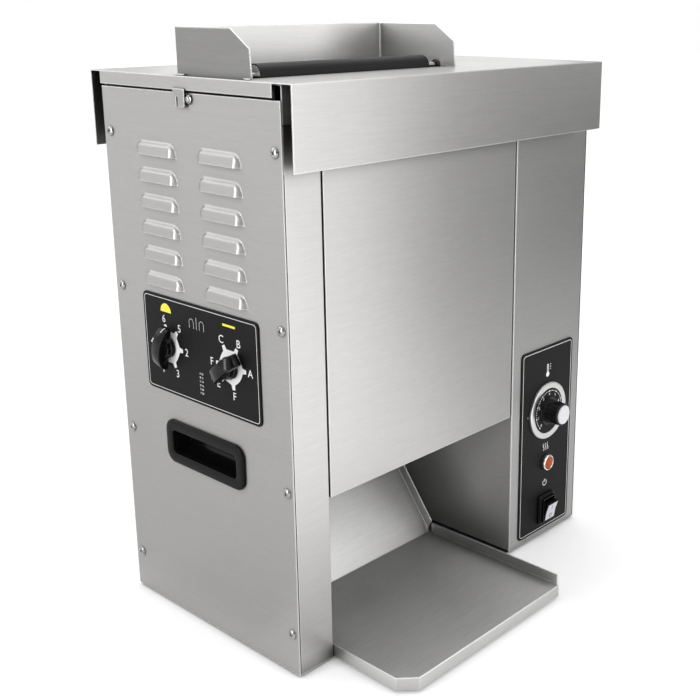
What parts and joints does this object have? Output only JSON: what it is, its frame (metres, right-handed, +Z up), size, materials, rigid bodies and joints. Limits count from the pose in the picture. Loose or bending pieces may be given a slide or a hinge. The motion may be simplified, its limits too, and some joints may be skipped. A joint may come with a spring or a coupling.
{
  "type": "vertical bun toaster",
  "caption": "Stainless vertical conveyor bun toaster with a lift-off top cover, two side dials, a thermostat, a rocker switch and a slide-out landing tray.",
  "frame": {"origin": "on the floor, under the middle of the toaster's bounding box", "axes": "+X to the right along the front, +Y from the front to the back, +Z up"},
  "size_m": [0.5144, 0.4109, 0.6496],
  "materials": {
    "brushed_stainless": "fine horizontal brushed grain",
    "black_plastic": "moulded, lightly glossy",
    "printed_plate": "dark screen-printed film on metal, satin",
    "black_belt": "coated fabric belt, matt",
    "bright_steel": "polished",
    "gear_steel": "machined, lightly oiled",
    "black_rubber": "matt",
    "galvanised_steel": "zinc coated, dull",
    "cast_aluminium": "as cast, dull",
    "motor_paint": "satin paint",
    "amber_lens": "clear amber, glossy",
    "white_plastic": "satin"
  },
  "bodies": {
    "casing": {"base_pan": "brushed_stainless", "cable_gland": "black_plastic", "chamber_left_wall": "brushed_stainless", "chamber_right_wall": "brushed_stainless", "control_box_front": "brushed_stainless", "control_plate": "printed_plate", "crown_belt": "black_belt", "dial_plate": "printed_plate", "foot_front_left": "black_rubber", "foot_front_right": "black_rubber", "foot_rear_left": "black_rubber", "foot_rear_right": "black_rubber", "front_pillar": "brushed_stainless", "front_top_rail": "galvanised_steel", "gear_motor": "motor_paint", "heater_element": "gear_steel", "heel_belt": "black_belt", "lamp_bezel": "bright_steel", "lamp_lens": "amber_lens", "latch_backing": "galvanised_steel", "latch_screw": "bright_steel", "left_pull_handle": "black_plastic", "left_side_panel": "brushed_stainless", "platen_crown_plate": "cast_aluminium", "platen_heel_plate": "cast_aluminium", "platen_left_bracket": "galvanised_steel", "platen_right_bracket": "galvanised_steel", "rear_panel": "brushed_stainless", "rear_top_rail": "galvanised_steel", "recess_left_wall": "brushed_stainless", "right_pull_handle": "black_plastic", "right_side_panel": "brushed_stainless", "rocker_frame": "black_plastic", "thermostat_bezel": "bright_steel", "thermostat_body": "galvanised_steel", "tray_rest": "galvanised_steel"},
    "heel_adjuster": {"heel_knob": "black_plastic", "heel_cam": "bright_steel"},
    "crown_adjuster": {"crown_knob": "black_plastic", "crown_cam": "bright_steel"},
    "heel_press": {"heel_pressure_plate": "brushed_stainless"},
    "crown_press": {"crown_pressure_plate": "brushed_stainless"},
    "heel_drive": {"heel_drive_roller": "bright_steel", "heel_gear": "gear_steel"},
    "crown_drive": {"crown_drive_roller": "bright_steel", "crown_gear": "gear_steel"},
    "heel_idler": {"heel_top_roller": "bright_steel"},
    "crown_idler": {"crown_top_roller": "bright_steel"},
    "motor_drive": {"drive_pinion": "gear_steel", "motor_shaft": "bright_steel"},
    "thermostat_dial": {"thermostat_knob": "black_plastic", "thermostat_cap": "white_plastic"},
    "rocker": {"rocker_button": "white_plastic"},
    "tray": {"landing_tray": "brushed_stainless"},
    "cover": {"top_cover": "brushed_stainless", "bun_chute": "brushed_stainless", "cover_latch": "brushed_stainless"},
    "door": {"front_door": "brushed_stainless"}
  },
  "joints": [
    {"name": "heel_knob_turn", "type": "hinge", "parent": "casing", "child": "heel_adjuster", "pos_m": [-0.2376, -0.00985, 0.3186], "axis": [1, 0, 0], "range_deg": [-65.2, 213.2]},
    {"name": "crown_knob_turn", "type": "hinge", "parent": "casing", "child": "crown_adjuster", "pos_m": [-0.2376, 0.09415, 0.3186], "axis": [1, 0, 0], "range_deg": [-26.2, 257.2]},
    {"name": "heel_press_slide", "type": "slide", "parent": "casing", "child": "heel_press", "axis": [0, 1, 0], "range_m": [-0.0014, 0.0046]},
    {"name": "crown_press_slide", "type": "slide", "parent": "casing", "child": "crown_press", "axis": [0, -1, 0], "range_m": [-0.00055, 0.00545]},
    {"name": "crown_drive_spin", "type": "hinge", "parent": "casing", "child": "crown_drive", "pos_m": [-0.089, 0.07415, 0.2656], "axis": [1, 0, 0], "continuous": true},
    {"name": "heel_drive_spin", "type": "hinge", "parent": "casing", "child": "heel_drive", "pos_m": [-0.089, -0.02585, 0.2656], "axis": [1, 0, 0], "continuous": true},
    {"name": "motor_spin", "type": "hinge", "parent": "casing", "child": "motor_drive", "pos_m": [0.0624, 0.12011, 0.31156], "axis": [1, 0, 0], "continuous": true},
    {"name": "crown_idler_spin", "type": "hinge", "parent": "casing", "child": "crown_idler", "pos_m": [-0.089, 0.07415, 0.5756], "axis": [1, 0, 0], "continuous": true},
    {"name": "heel_idler_spin", "type": "hinge", "parent": "casing", "child": "heel_idler", "pos_m": [-0.089, -0.02585, 0.6051], "axis": [1, 0, 0], "continuous": true},
    {"name": "thermostat_turn", "type": "hinge", "parent": "casing", "child": "thermostat_dial", "pos_m": [0.1834, -0.11285, 0.1746], "axis": [0, 1, 0], "range_deg": [0, 270]},
    {"name": "rocker_tilt", "type": "hinge", "parent": "casing", "child": "rocker", "pos_m": [0.1834, -0.10215, 0.0411], "axis": [1, 0, 0], "range_deg": [-28, 0]},
    {"name": "tray_slide", "type": "slide", "parent": "casing", "child": "tray", "axis": [0, -1, 0], "range_m": [0, 0.2]},
    {"name": "cover_lift", "type": "slide", "parent": "casing", "child": "cover", "axis": [0, 0, 1], "range_m": [0, 0.1]},
    {"name": "door_lift", "type": "slide", "parent": "casing", "child": "door", "axis": [0, 0, 1], "range_m": [0, 0.012]}
  ],
  "couplings": [
    {"joint": "heel_knob_turn", "follows": "heel_press_slide", "rad_per_m": 808.67},
    {"joint": "crown_knob_turn", "follows": "crown_press_slide", "rad_per_m": 823.21},
    {"joint": "heel_drive_spin", "follows": "crown_drive_spin", "ratio": -1},
    {"joint": "motor_spin", "follows": "crown_drive_spin", "ratio": -3.3333},
    {"joint": "crown_idler_spin", "follows": "crown_drive_spin", "ratio": 1},
    {"joint": "heel_idler_spin", "follows": "crown_drive_spin", "ratio": -1}
  ]
}
